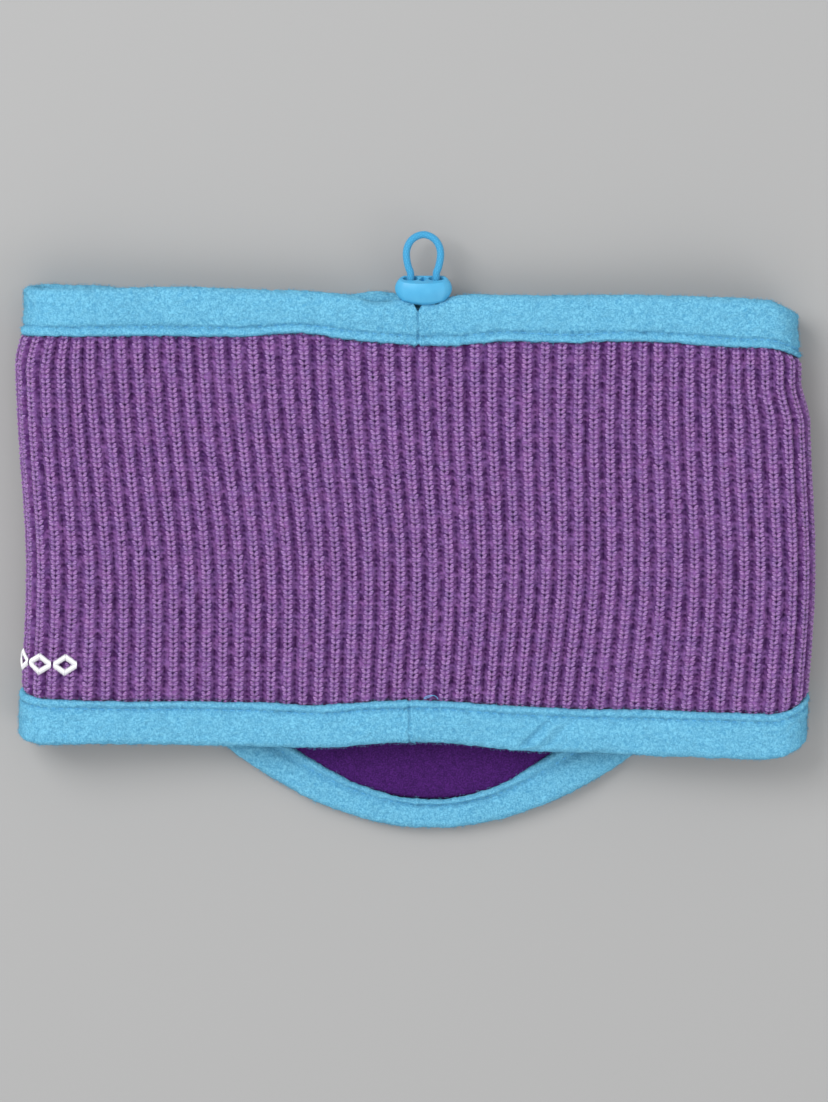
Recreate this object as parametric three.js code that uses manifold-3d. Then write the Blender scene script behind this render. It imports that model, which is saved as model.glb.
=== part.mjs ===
// Neck gaiter: a flattened tube of rib knit with a fleece lining, fleece bands round both
// openings, an elastic drawcord in the collar and a two-hole cord lock on the cord's loop.
// Millimetres. X runs across the gaiter, Y from the hem to the collar, Z up from the table.
// The back panel lies on top and the front panel, with its bib, lies under it.
import * as THREE from 'three';
import { ParametricGeometry } from 'three/addons/geometries/ParametricGeometry.js';
import { mergeVertices } from 'three/addons/utils/BufferGeometryUtils.js';
import Module from 'manifold-3d';

const wasm = await Module();
wasm.setup();

// ---- driving dimensions ----
const HALF_WIDTH = 136.2;          // half of the flat width
const FOLD_RADIUS = 10.5;          // outer radius of the two side folds
const BACK_HEIGHT = 16.4;          // knit face of the back panel above the table, mid width
const FLAT_REACH = 60;             // the back panel is level out to this half-width
const COLLAR_EDGE = 80;            // collar edge of the back panel
const HEM_EDGE = -81.6;            // hem edge of the back panel
const SKEW = 0.0165;               // the rows drop this much per millimetre to the right
const FLEECE_PROUD = 0.3;          // bands stand this far above the knit face

const KNIT_THICK = 2.4;
const LINING_FACE = -3.0;          // outer face of the lining, counted from the knit face
const LINING_THICK = 1.6;
const BAND_THICK = 5.9;            // a whole band, both legs and the channel between them
const LEG_THICK = 1.4;             // one fleece leg of a band
const OUTER_LEG = 16.4;            // length of a band's outer leg, from its fold
const INNER_LEG = 12.0;            // length of a band's inner leg
const LIP_DEPTH = 0.8;             // the stitched lip of a leg is pressed down this much
const LIP_LENGTH = 3.2;
const KNIT_TAB = 12.4;             // seam allowance of the knit reaches to here in a band
const LINING_TAB = 10.4;           // and that of the lining to here
const TAB_THICK = 0.9;
const GAP = 0.3;                   // clearance between neighbouring pieces

const BIB_DEPTH = 32.7;            // the front hem dips this far below the back hem
const BIB_HALF = 76.5;
const BIB_CENTRE = 6;
const BIB_POWER = 2;
const BIB_FILLET = 3;

const CORD_DIAMETER = 2.5;
const LOCK_X = 3.9;                // the cord lock's centre
const LOCK_Y = 80.3;
const LOCK_HALF = [9.75, 4.8, 4.8];
const LOCK_BACK = -1.3;            // back face of the housing, from the cord's axis
const LEG_X = 4.35;                // the two cord holes, each side of the lock's centre
const BUTTON_TRAVEL = 1.2;
const THREAD = 0.5;

// ---- the form: where a point of the cloth lies ----
const FLAT = HALF_WIDTH - FOLD_RADIUS;
const FOLD = Math.PI * FOLD_RADIUS;
const GIRTH = 4 * FLAT + 2 * FOLD;
const TABLE_FACE = FLEECE_PROUD;   // height of the front panel's knit face
const CHANNEL_W = FLEECE_PROUD - BAND_THICK / 2;

function smooth(value, low, high) {
    const t = Math.min(1, Math.max(0, (value - low) / (high - low)));
    return t * t * (3 - 2 * t);
}

function bell(value, centre, width) {
    return Math.exp(-(((value - centre) / width) ** 2));
}

// Round the girth: u = 0 at the middle of the back, growing to the right, over the right
// fold and under to the front. Gives the place and outward normal of the knit face.
function girth(u) {
    const turn = ((u % GIRTH) + GIRTH) % GIRTH;
    if (turn < FLAT || turn > GIRTH - FLAT) {
        const x = turn < FLAT ? turn : turn - GIRTH;
        const rise = TABLE_FACE + 2 * FOLD_RADIUS - BACK_HEIGHT;
        const t = Math.min(1, Math.max(0, (Math.abs(x) - FLAT_REACH) / (FLAT - FLAT_REACH)));
        const slope = Math.sign(x) * rise * 6 * t * (1 - t) / (FLAT - FLAT_REACH);
        const length = Math.hypot(1, slope);
        const z = BACK_HEIGHT + rise * smooth(Math.abs(x), FLAT_REACH, FLAT);
        return { x, z, nx: -slope / length, nz: 1 / length };
    }
    if (turn <= FLAT + FOLD || turn >= 3 * FLAT + FOLD) {
        const right = turn <= FLAT + FOLD;
        const angle = right ? (turn - FLAT) / FOLD_RADIUS : Math.PI + (turn - 3 * FLAT - FOLD) / FOLD_RADIUS;
        const centre = right ? FLAT : -FLAT;
        const nx = Math.sin(angle);
        const nz = Math.cos(angle);
        return { x: centre + FOLD_RADIUS * nx, z: TABLE_FACE + FOLD_RADIUS * (1 + nz), nx, nz };
    }
    return { x: 2 * FLAT + FOLD - turn, z: TABLE_FACE, nx: 0, nz: -1 };
}

function wrap(u) {
    return ((u % GIRTH) + GIRTH) % GIRTH;
}

// The collar's edge lies a little lower at the middle, and lower on the front than the back.
function collarEdge(u) {
    const turn = wrap(u);
    const across = turn < GIRTH / 2 ? turn : turn - GIRTH;
    const front = 6.5 * smooth(turn, FLAT - 4, FLAT + 22)
        - 1.4 * smooth(turn, FLAT + 60, GIRTH / 2)
        - 3.2 * smooth(turn, GIRTH / 2 + 72, GIRTH / 2 + 116)
        - 1.9 * smooth(turn, GIRTH - FLAT - 30, GIRTH - FLAT);
    return COLLAR_EDGE - 1.4 * bell(across, 0, 45) - front;
}

// The fold of the collar band is pushed in by the cord lock; its stitched side is not.
function lockDip(u) {
    const turn = wrap(u);
    const across = turn < GIRTH / 2 ? turn : turn - GIRTH;
    return 2.9 * bell(across, LOCK_X, 8.5) + 1.2 * bell(across, -13, 6);
}

// The hem's edge rises at the right fold and swings out into the bib on the front.
function hemEdge(u) {
    const turn = wrap(u);
    const rise = 5.5 * smooth(turn, FLAT - 4, FLAT + 20)
        - 3.3 * smooth(turn, FLAT + 24, FLAT + 80)
        - 2.2 * smooth(turn, GIRTH - FLAT - FOLD, GIRTH - FLAT)
        + 1.2 * smooth(turn, GIRTH / 2 + 60, GIRTH - FLAT) * smooth(GIRTH - turn, 40, 115)
        + 2.9 * bell(turn < GIRTH / 2 ? turn : turn - GIRTH, 3, 24);
    const across = Math.abs(GIRTH / 2 - turn - BIB_CENTRE) / BIB_HALF;
    const dome = BIB_DEPTH * (1 - across ** BIB_POWER);
    const bib = (dome + Math.hypot(dome, BIB_FILLET)) / 2;
    return HEM_EDGE + rise - bib;
}

// 1 on the two panels, falling to 0 at the folds.
function onPanel(u) {
    const x = girth(u).x;
    return 1 - smooth(Math.abs(x), FLAT - 14, FLAT - 2);
}

// A point `inset` in from an edge, square to it on the panels, and `out` from the knit face.
function fromEdge(edge, inward, dip) {
    return (u, inset, out) => {
        const step = 0.01;
        const slope = onPanel(u) * (edge(u + step) - edge(u - step)) / (2 * step);
        const length = Math.hypot(1, slope);
        const along = u - inward * inset * slope / length;
        const v = edge(u) + inward * (inset / length + dip(u) * (1 - smooth(inset, 2, 12)));
        const at = girth(along);
        const x = at.x + out * at.nx;
        return new THREE.Vector3(x, v - SKEW * x, at.z + out * at.nz);
    };
}
const fromCollar = fromEdge(collarEdge, -1, lockDip);
const fromHem = fromEdge(hemEdge, 1, () => 0);

// ---- stations round the girth, closer at the folds, the lock and the bib ----
const BACK_STEPS = 10;
const FOLD_STEPS = 7;
const FRONT_STEPS = 26;
const stations = [];
for (let i = 0; i < BACK_STEPS; i++) {
    stations.push(FLAT * (i / BACK_STEPS) ** 1.6);
}
for (let i = 0; i < FOLD_STEPS; i++) {
    stations.push(FLAT + FOLD * i / FOLD_STEPS);
}
for (let i = 0; i < FRONT_STEPS; i++) {
    stations.push(FLAT + FOLD + 2 * FLAT * i / FRONT_STEPS);
}
for (let i = 0; i < FOLD_STEPS; i++) {
    stations.push(3 * FLAT + FOLD + FOLD * i / FOLD_STEPS);
}
for (let i = BACK_STEPS; i > 0; i--) {
    stations.push(GIRTH - FLAT * (i / BACK_STEPS) ** 1.6);
}

// A closed ring of cloth: `section` lists [edge, inset, out] corners, outer face first.
function ring(section) {
    const place = (s, t, target) => {
        const station = stations[Math.round(s * stations.length) % stations.length];
        const [edge, inset, out] = section[Math.round((1 - t) * section.length) % section.length];
        target.copy(edge(station, inset, out));
    };
    return new ParametricGeometry(place, stations.length, section.length);
}

// The same for a section that hangs on one edge, listed from the knit side to the fold.
function edgeRing(edge, corners) {
    const section = corners.map(([inset, out]) => [edge, inset, out]);
    return ring(edge === fromCollar ? section.reverse() : section);
}

// ---- materials ----
function material(color, roughness, metalness = 0) {
    return new THREE.MeshStandardMaterial({ color, roughness, metalness });
}
const ribKnit = () => material('#8a5ba4', 0.95);
const blueFleece = () => material('#78c3eb', 1);
const plumFleece = () => material('#461964', 1);
const cordBlue = () => material('#46a5e1', 0.7);
const moulded = () => material('#5ab9eb', 0.4);
const threadBlue = () => material('#5fb2de', 0.8);
const springSteel = () => material('#b8bcc0', 0.3, 1);
const whiteThread = () => material('#f2f4f7', 0.6);
const labelWhite = () => material('#e9e9ec', 0.7);

const gaiter = new THREE.Group();

function add(name, geometry, mat) {
    const mesh = new THREE.Mesh(geometry, mat);
    mesh.name = name;
    gaiter.add(mesh);
    return mesh;
}

// ---- solids that are cut ----
function toSolid(geometry) {
    const bare = geometry.clone();
    bare.deleteAttribute('normal');
    bare.deleteAttribute('uv');
    const merged = mergeVertices(bare, 1e-3);
    return new wasm.Manifold(new wasm.Mesh({
        numProp: 3,
        vertProperties: Float32Array.from(merged.attributes.position.array),
        triVerts: Uint32Array.from(merged.index.array),
    }));
}

function fromSolid(solid) {
    const mesh = solid.getMesh();
    const geometry = new THREE.BufferGeometry();
    geometry.setAttribute('position', new THREE.BufferAttribute(mesh.vertProperties, 3));
    geometry.setIndex(new THREE.BufferAttribute(mesh.triVerts, 1));
    return geometry;
}

function block(low, high) {
    const size = high.map((value, i) => value - low[i]);
    const centre = high.map((value, i) => (value + low[i]) / 2);
    return toSolid(new THREE.BoxGeometry(...size).translate(...centre));
}

// ---- knit tube and lining ----
function shell(face, thick, inset, tabInset, tabFace) {
    return ring([
        [fromCollar, inset, face],
        [fromHem, inset, face],
        [fromHem, inset, tabFace],
        [fromHem, tabInset, tabFace],
        [fromHem, tabInset, tabFace - TAB_THICK],
        [fromHem, inset, tabFace - TAB_THICK],
        [fromHem, inset, face - thick],
        [fromCollar, inset, face - thick],
        [fromCollar, inset, tabFace - TAB_THICK],
        [fromCollar, tabInset, tabFace - TAB_THICK],
        [fromCollar, tabInset, tabFace],
        [fromCollar, inset, tabFace],
    ]);
}
const LEG_INSIDE = FLEECE_PROUD - LEG_THICK;
add('knit_shell', shell(0, KNIT_THICK, OUTER_LEG + GAP, KNIT_TAB, LEG_INSIDE - GAP), ribKnit());
const LINING_TAB_FACE = FLEECE_PROUD - BAND_THICK + LEG_THICK + GAP + TAB_THICK;
add('fleece_lining', shell(LINING_FACE, LINING_THICK, INNER_LEG + GAP, LINING_TAB, LINING_TAB_FACE), plumFleece());

// ---- bands: a folded strip of fleece, with a pressed lip along each stitched edge ----
function band(edge) {
    const outer = FLEECE_PROUD;
    const inner = FLEECE_PROUD - BAND_THICK;
    const fold = BAND_THICK / 2;
    const section = [
        [OUTER_LEG, outer - LIP_DEPTH],
        [OUTER_LEG - LIP_LENGTH, outer - LIP_DEPTH],
        [OUTER_LEG - LIP_LENGTH, outer],
    ];
    const outerArc = 6;
    for (let i = 0; i <= outerArc; i++) {
        const angle = Math.PI * i / outerArc;
        section.push([fold - fold * Math.sin(angle), CHANNEL_W + fold * Math.cos(angle)]);
    }
    section.push([INNER_LEG - LIP_LENGTH, inner]);
    section.push([INNER_LEG - LIP_LENGTH, inner + LIP_DEPTH]);
    section.push([INNER_LEG, inner + LIP_DEPTH]);
    section.push([INNER_LEG, inner + LEG_THICK]);
    const innerArc = 4;
    const channel = fold - LEG_THICK;
    for (let i = innerArc; i >= 0; i--) {
        const angle = Math.PI * i / innerArc;
        section.push([fold - channel * Math.sin(angle), CHANNEL_W + channel * Math.cos(angle)]);
    }
    section.push([OUTER_LEG, outer - LEG_THICK]);
    return edgeRing(edge, section);
}

// The cord lock sits in a notch of the collar band, where the channel opens for the cord.
const lockZ = BACK_HEIGHT + CHANNEL_W;
const notchDepth = 16;
const notch = toSolid(new THREE.CylinderGeometry(1, 1, notchDepth, 28)
    .rotateX(Math.PI / 2)
    .scale(LOCK_HALF[0] + 2 * GAP, LOCK_HALF[1] + 2 * GAP, 1)
    .translate(LOCK_X, LOCK_Y, lockZ + 1.5));
const mouthHalf = LEG_X + CORD_DIAMETER / 2 + 2 * GAP;
const channelHalf = BAND_THICK / 2 - LEG_THICK;
const mouth = block(
    [LOCK_X - mouthHalf, LOCK_Y - 9, lockZ - channelHalf],
    [LOCK_X + mouthHalf, LOCK_Y, lockZ + channelHalf],
);
const collar = toSolid(band(fromCollar)).subtract(notch).subtract(mouth);
add('collar_band', fromSolid(collar), blueFleece());
add('hem_band', band(fromHem), blueFleece());

// ---- topstitch threads, lying in the step beside each lip ----
function stitchRow(edge, inset, out) {
    return edgeRing(edge, [
        [inset + THREAD, out],
        [inset, out],
        [inset, out - THREAD],
        [inset + THREAD, out - THREAD],
    ]);
}
const needleInset = OUTER_LEG - LIP_LENGTH + GAP;
const bobbinInset = INNER_LEG - LIP_LENGTH + GAP;
const bobbinOut = FLEECE_PROUD - BAND_THICK + THREAD;
add('collar_needle_thread', stitchRow(fromCollar, needleInset, FLEECE_PROUD), threadBlue());
add('collar_bobbin_thread', stitchRow(fromCollar, bobbinInset, bobbinOut), threadBlue());
add('hem_needle_thread', stitchRow(fromHem, needleInset, FLEECE_PROUD), threadBlue());
add('hem_bobbin_thread', stitchRow(fromHem, bobbinInset, bobbinOut), threadBlue());

// ---- elastic cord ----
const CORD_SIDES = 8;
const cordRadius = CORD_DIAMETER / 2;
const cordSection = new THREE.Shape();
for (let i = 0; i < CORD_SIDES; i++) {
    const angle = 2 * Math.PI * i / CORD_SIDES;
    const x = cordRadius * Math.cos(angle);
    const y = cordRadius * Math.sin(angle);
    if (i === 0) {
        cordSection.moveTo(x, y);
    } else {
        cordSection.lineTo(x, y);
    }
}

// A route through given places, with a section of the tube at each of them.
class PlacedRoute extends THREE.Curve {
    constructor(places) {
        super();
        this.places = places;
    }

    getPoint(t, target = new THREE.Vector3()) {
        const at = t * (this.places.length - 1);
        const i = Math.min(Math.floor(at), this.places.length - 2);
        return target.lerpVectors(this.places[i], this.places[i + 1], at - i);
    }

    getUtoTmapping(u) {
        return u;
    }
}

// In the channel the cord runs from one leg of the loop right round the collar to the other.
const CORD_START = LEG_X + cordRadius + GAP + 0.1;
const LEG_INSET = 7.6;             // where it leaves the loop's legs, from the collar's edge
const CHANNEL_INSET = BAND_THICK / 2;
const DRIFT = 26;                  // it drifts up to the fold over this length
const first = LOCK_X + CORD_START;
const last = GIRTH + LOCK_X - CORD_START;
const cordStations = [first, ...stations.filter((u) => u > first + 2 && u < last - 2), last];
const channelRoute = cordStations.map((u) => {
    const away = Math.min(u - first, last - u);
    const inset = LEG_INSET + (CHANNEL_INSET - LEG_INSET) * smooth(away, 0, DRIFT);
    return fromCollar(u, inset, CHANNEL_W);
});
add('drawcord', new THREE.ExtrudeGeometry(cordSection, {
    steps: cordStations.length - 1,
    extrudePath: new PlacedRoute(channelRoute),
}), cordBlue());

// The loop: one half of its route, [across, along, down] from the lock's centre.
const LOOP_HALF = [
    [4.35, -11.6, 0], [4.35, -8.5, 0], [4.35, -4.5, 0], [4.35, 0, 0], [4.35, 4.2, 0],
    [4.6, 6.3, -0.05], [5.0, 7.8, -0.15], [5.45, 9.6, -0.35], [5.75, 11.5, -0.65],
    [5.83, 13.1, -0.98], [5.65, 14.7, -1.4], [5.15, 16.2, -1.85], [4.35, 17.55, -2.3],
    [3.25, 18.6, -2.7], [1.75, 19.4, -3.05], [0, 19.75, -3.2],
];
const loopPoints = [
    ...LOOP_HALF.map(([x, y, z]) => new THREE.Vector3(LOCK_X - x, LOCK_Y + y, lockZ + z)),
    ...LOOP_HALF.slice(0, -1).reverse().map(([x, y, z]) => new THREE.Vector3(LOCK_X + x, LOCK_Y + y, lockZ + z)),
];
add('drawcord_loop', new THREE.ExtrudeGeometry(cordSection, {
    steps: 34,
    extrudePath: new THREE.CatmullRomCurve3(loopPoints),
}), cordBlue());

// ---- cord lock: a pebble housing, and a button behind it on a coil spring ----
const POCKET = [7.0, 2.6];         // half-sizes of the housing's pocket
const POCKET_TOP = 3.75;
const HOLE = [2.37, 1.7];          // half-sizes of each cord hole
const TONGUE_TOP = 2.25;
const BUTTON_TOP = LOCK_BACK - BUTTON_TRAVEL - GAP;
const BUTTON_BACK = -4.6;
const SEAT = -1.5;                 // floor of the spring's bore in the button

// A sphere pushed out to a pebble with flatter faces and rounder rims.
function pebble(halfX, halfY, halfZ) {
    const geometry = new THREE.SphereGeometry(1, 28, 14).rotateX(Math.PI / 2);
    const place = geometry.attributes.position;
    const plan = 2.6;
    const depth = 4;
    for (let i = 0; i < place.count; i++) {
        const x = place.getX(i);
        const y = place.getY(i);
        const z = place.getZ(i);
        const flat = (Math.abs(x) ** plan + Math.abs(y) ** plan) ** (1 / plan);
        const reach = (flat ** depth + Math.abs(z) ** depth) ** (1 / depth);
        place.setXYZ(i, halfX * x / reach, halfY * y / reach, halfZ * z / reach);
    }
    return toSolid(geometry);
}

function oval(halfX, halfZ, length, x) {
    return toSolid(new THREE.CylinderGeometry(1, 1, length, 20).scale(halfX, 1, halfZ).translate(x, 0, 0));
}

function housing() {
    const [hx, hy, hz] = LOCK_HALF;
    let body = pebble(hx, hy, hz).subtract(block([-hx, -hy, -hz - 1], [hx, hy, LOCK_BACK]));
    body = body.subtract(block([-POCKET[0], -POCKET[1], LOCK_BACK - 1], [POCKET[0], POCKET[1], POCKET_TOP]));
    for (const side of [-1, 1]) {
        body = body.subtract(oval(HOLE[0], HOLE[1], 4 * hy, side * LEG_X));
    }
    const slant = new THREE.Shape([
        new THREE.Vector2(-1.3, -0.9), new THREE.Vector2(0.5, -0.9),
        new THREE.Vector2(1.3, 2.2), new THREE.Vector2(-0.5, 2.2),
    ]);
    const window = new THREE.ExtrudeGeometry(slant, { depth: 2 * hy, bevelEnabled: false });
    return body.subtract(toSolid(window.rotateX(Math.PI / 2).translate(0, 2 * hy, 0)));
}

function button() {
    const plate = pebble(8.6, 4.3, 4.6).intersect(block([-9, -5, BUTTON_BACK - 1], [9, 5, BUTTON_TOP]));
    const tongueHalf = [POCKET[0] - GAP, POCKET[1] - GAP];
    let body = plate.add(block([-tongueHalf[0], -tongueHalf[1], BUTTON_TOP - 0.5], [...tongueHalf, TONGUE_TOP]));
    const low = -cordRadius - GAP - BUTTON_TRAVEL;
    const high = cordRadius + GAP;
    for (const side of [-1, 1]) {
        const wall = side * LEG_X;
        body = body.subtract(block([wall - 1.65, -6, low], [wall + 1.65, 6, high]));
    }
    const bore = new THREE.CylinderGeometry(1.45, 1.45, 8, 16).rotateX(Math.PI / 2).translate(0, 0, SEAT + 4);
    return body.subtract(toSolid(bore));
}

class Coil extends THREE.Curve {
    constructor(radius, low, high, turns) {
        super();
        Object.assign(this, { radius, low, high, turns });
    }

    getPoint(t, target = new THREE.Vector3()) {
        const angle = 2 * Math.PI * this.turns * t;
        const z = this.low + (this.high - this.low) * t;
        return target.set(this.radius * Math.cos(angle), this.radius * Math.sin(angle), z);
    }
}

function spring() {
    const wire = 0.18;
    const section = new THREE.Shape();
    section.absarc(0, 0, wire, 0, 2 * Math.PI);
    const coil = new Coil(0.9, SEAT + GAP + wire, POCKET_TOP - GAP - wire, 4);
    return new THREE.ExtrudeGeometry(section, { steps: 48, curveSegments: 3, extrudePath: coil });
}

for (const [name, geometry, mat] of [
    ['cord_lock_housing', fromSolid(housing()), moulded()],
    ['cord_lock_button', fromSolid(button()), moulded()],
    ['cord_lock_spring', spring(), springSteel()],
]) {
    add(name, geometry, mat).position.set(LOCK_X, LOCK_Y, lockZ);
}

// ---- embroidered motif and care label: thin patches bent to the form ----
function patch(uLow, uHigh, vLow, vHigh, low, high, steps) {
    const geometry = new THREE.BoxGeometry(1, 1, 1, steps, 1, 1).translate(0.5, 0.5, 0.5);
    const place = geometry.attributes.position;
    for (let i = 0; i < place.count; i++) {
        const at = girth(uLow + (uHigh - uLow) * place.getX(i));
        const out = low + (high - low) * place.getZ(i);
        const x = at.x + out * at.nx;
        const v = vLow + (vHigh - vLow) * place.getY(i);
        place.setXYZ(i, x, v - SKEW * x, at.z + out * at.nz);
    }
    return geometry;
}
const MOTIF = { from: GIRTH - FLAT - FOLD + 6.5, to: GIRTH - FLAT + 9, low: -55.5, high: -47.5, thick: 0.6 };
add('embroidered_motif', patch(MOTIF.from, MOTIF.to, MOTIF.low, MOTIF.high, GAP, GAP + MOTIF.thick, 14), whiteThread());
const LABEL = { from: GIRTH - FLAT - FOLD - 15, to: GIRTH - FLAT - FOLD - 2, low: -60, high: -34, thick: 0.5 };
const labelOut = LINING_FACE - LINING_THICK - GAP;
add('care_label', patch(LABEL.from, LABEL.to, LABEL.low, LABEL.high, labelOut - LABEL.thick, labelOut, 3), labelWhite());

// ---- the origin: middle of the cloth's box, on the table ----
gaiter.updateMatrixWorld(true);
const onCord = ['drawcord_loop', 'cord_lock_housing', 'cord_lock_button', 'cord_lock_spring'];
const clothBox = new THREE.Box3();
for (const mesh of gaiter.children) {
    if (!onCord.includes(mesh.name)) {
        clothBox.expandByObject(mesh, true);
    }
}
const middle = clothBox.getCenter(new THREE.Vector3());
gaiter.position.set(-middle.x, -middle.y, -clothBox.min.z);

export default gaiter;
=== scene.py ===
# %% [markdown]
# # A rib-knit neck gaiter with fleece bands
# The gaiter lies flat on a table with its back panel up. It is one tube of rib knit, lined with
# fleece, bound with fleece at both openings, with an elastic cord and a cord lock at the collar.
# Everything is in metres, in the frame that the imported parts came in.

# %% Load the fixed frame
import math

import bmesh
import bpy
import numpy as np
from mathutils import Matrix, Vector


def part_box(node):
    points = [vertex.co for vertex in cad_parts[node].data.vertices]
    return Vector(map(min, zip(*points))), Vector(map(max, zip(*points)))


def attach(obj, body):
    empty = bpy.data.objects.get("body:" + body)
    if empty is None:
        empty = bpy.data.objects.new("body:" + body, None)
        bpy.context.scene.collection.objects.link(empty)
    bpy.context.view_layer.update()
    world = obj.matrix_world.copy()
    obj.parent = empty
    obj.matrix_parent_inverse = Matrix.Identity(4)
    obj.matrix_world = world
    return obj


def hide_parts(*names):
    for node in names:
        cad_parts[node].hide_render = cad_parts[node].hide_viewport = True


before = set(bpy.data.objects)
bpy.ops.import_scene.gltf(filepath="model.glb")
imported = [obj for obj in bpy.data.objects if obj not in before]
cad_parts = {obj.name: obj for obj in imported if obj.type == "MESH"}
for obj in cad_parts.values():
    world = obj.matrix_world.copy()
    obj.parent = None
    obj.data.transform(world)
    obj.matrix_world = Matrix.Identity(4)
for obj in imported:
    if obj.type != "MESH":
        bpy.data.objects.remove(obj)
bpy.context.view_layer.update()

MM = 0.001
rng = np.random.default_rng(12)

# %% [markdown]
# ## Driving sizes
# The cloth follows one form: a flattened tube. The few sizes below describe it, in millimetres.
# The cord lock's own box says where the form sits in the frame.

# %% Sizes of the form
HALF_WIDTH = 136.2
FOLD_RADIUS = 10.5
BACK_HEIGHT = 16.4
FLAT_REACH = 60
COLLAR_EDGE = 80
HEM_EDGE = -81.6
SKEW = 0.0165
PROUD = 0.3
BAND_THICK = 5.9
LEG_THICK = 1.4
OUTER_LEG = 16.4
INNER_LEG = 12.0
BIB_DEPTH = 32.7
BIB_HALF = 76.5
BIB_CENTRE = 6
BIB_FILLET = 3
LOCK_X = 3.9
LOCK_Y = 80.3
CORD_DIAMETER = 2.5

FLAT = HALF_WIDTH - FOLD_RADIUS
FOLD = math.pi * FOLD_RADIUS
GIRTH = 4 * FLAT + 2 * FOLD
CHANNEL_W = PROUD - BAND_THICK / 2
LOCK_Z = BACK_HEIGHT + CHANNEL_W

lock_low, lock_high = (np.array(corner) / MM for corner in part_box("cord_lock_housing"))
SHIFT = (lock_low + lock_high)[:2] / 2 - (LOCK_X, LOCK_Y)
print(f"girth {GIRTH:.1f} mm, form shifted by {SHIFT.round(2)} mm in the frame")

# %% [markdown]
# ## The camera
# It looks down on the gaiter through a long lens, tipped a little towards the collar, so the
# top of the cord lock and the far edge of the collar just show.

# %% Camera
TILT = math.radians(13)
CAMERA_DISTANCE = 2.4
VIEW_HEIGHT = 0.380
SENSOR = 36
look_at = Vector((0.0011, 0.0032, 0.010))

camera_data = bpy.data.cameras.new("camera")
camera_data.sensor_width = SENSOR
camera_data.lens = SENSOR * CAMERA_DISTANCE / VIEW_HEIGHT
camera = bpy.data.objects.new("camera", camera_data)
camera.location = look_at + CAMERA_DISTANCE * Vector((0, math.sin(TILT), math.cos(TILT)))
camera.rotation_euler = (-TILT, 0, 0)
bpy.context.collection.objects.link(camera)
bpy.context.scene.camera = camera
print(f"lens {camera_data.lens:.0f} mm")

# %% [markdown]
# ## Small helpers
# Cloth is made by mesh code: arrays of points become a mesh in one call. Hard pieces are made
# with operators, and every operator acts on what is selected, so the selection is cleared first.

# %% Helpers for meshes
def mesh_object(name, points, faces, uv=None):
    """A new object from points in millimetres and faces of equal corner count."""
    faces = np.asarray(faces, dtype=np.int32)
    corners = faces.shape[1]
    mesh = bpy.data.meshes.new(name)
    mesh.vertices.add(len(points))
    mesh.vertices.foreach_set("co", (np.asarray(points) * MM).astype(np.float32).ravel())
    mesh.loops.add(faces.size)
    mesh.loops.foreach_set("vertex_index", faces.ravel())
    mesh.polygons.add(len(faces))
    mesh.polygons.foreach_set("loop_start", np.arange(0, faces.size, corners, dtype=np.int32))
    mesh.polygons.foreach_set("use_smooth", np.ones(len(faces), dtype=bool))
    if uv is not None:
        layer = mesh.uv_layers.new(name="cloth")
        at_corners = uv[faces] if uv.ndim == 2 else uv
        layer.data.foreach_set("uv", at_corners.astype(np.float32).ravel())
    mesh.update(calc_edges=True)
    mesh.validate()
    made = bpy.data.objects.new(name, mesh)
    bpy.context.collection.objects.link(made)
    return made


def copies(name, points, faces, uv=None, mirrored=()):
    """One mesh from many placed copies: points has one block of rows for each copy."""
    count, corners = points.shape[:2]
    all_faces = faces[None] + corners * np.arange(count)[:, None, None]
    if len(mirrored):
        all_faces[mirrored] = all_faces[mirrored][:, :, ::-1]
    if uv is not None:
        uv = np.broadcast_to(uv, (count, corners, 2)).reshape(-1, 2)
    return mesh_object(name, points.reshape(-1, 3), all_faces.reshape(-1, faces.shape[1]), uv)


def add_value(made, name, values):
    """Stores one number for each point of a mesh, for its material to read."""
    layer = made.data.attributes.new(name, "FLOAT", "POINT")
    layer.data.foreach_set("value", np.asarray(values, dtype=np.float32))


def grid_faces(rows, columns, wrap_rows=False, wrap_columns=False):
    """Quads between rows and columns of points that are numbered row by row."""
    r = np.arange(rows if wrap_rows else rows - 1)[:, None]
    c = np.arange(columns if wrap_columns else columns - 1)[None, :]
    r2, c2 = (r + 1) % rows, (c + 1) % columns
    quads = [r * columns + c, r2 * columns + c, r2 * columns + c2, r * columns + c2]
    return np.stack([q.ravel() for q in quads], axis=1)


def facing_out(points, faces):
    """Turns a closed mesh's quads so that they look outwards."""
    a, b, c, d = (points[faces[:, k]] for k in range(4))
    volume = np.einsum("ij,ij->", a, np.cross(b, c)) + np.einsum("ij,ij->", a, np.cross(c, d))
    return faces if volume > 0 else faces[:, ::-1]


def above_table(points, gap):
    """Lifts points that would sink into the table."""
    points[..., 2] = np.maximum(points[..., 2], gap)


def deselect():
    for other in bpy.context.selected_objects:
        other.select_set(False)


def select_only(made):
    deselect()
    made.select_set(True)
    bpy.context.view_layer.objects.active = made


def apply_modifiers(made):
    select_only(made)
    for modifier in list(made.modifiers):
        bpy.ops.object.modifier_apply(modifier=modifier.name)


def settle(made):
    """Puts an object's place into its mesh, so the object itself sits at the origin."""
    select_only(made)
    bpy.ops.object.transform_apply(location=True, rotation=True, scale=True)


def primitive(add, **settings):
    """Adds one of Blender's own shapes and settles it."""
    deselect()
    add(**settings)
    made = bpy.context.object
    settle(made)
    return made


def shade_smooth(made):
    for polygon in made.data.polygons:
        polygon.use_smooth = True


# %% Helpers for curves
def smooth(value, low, high):
    """0 below low, 1 above high, with a soft step between."""
    t = np.clip((value - low) / (high - low), 0, 1)
    return t * t * (3 - 2 * t)


def bell(value, centre, width):
    return np.exp(-(((value - centre) / width) ** 2))


def bells(value, *bumps):
    """A sum of bell curves, each given as height, centre and width."""
    return sum(height * bell(value, centre, width) for height, centre, width in bumps)


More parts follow.
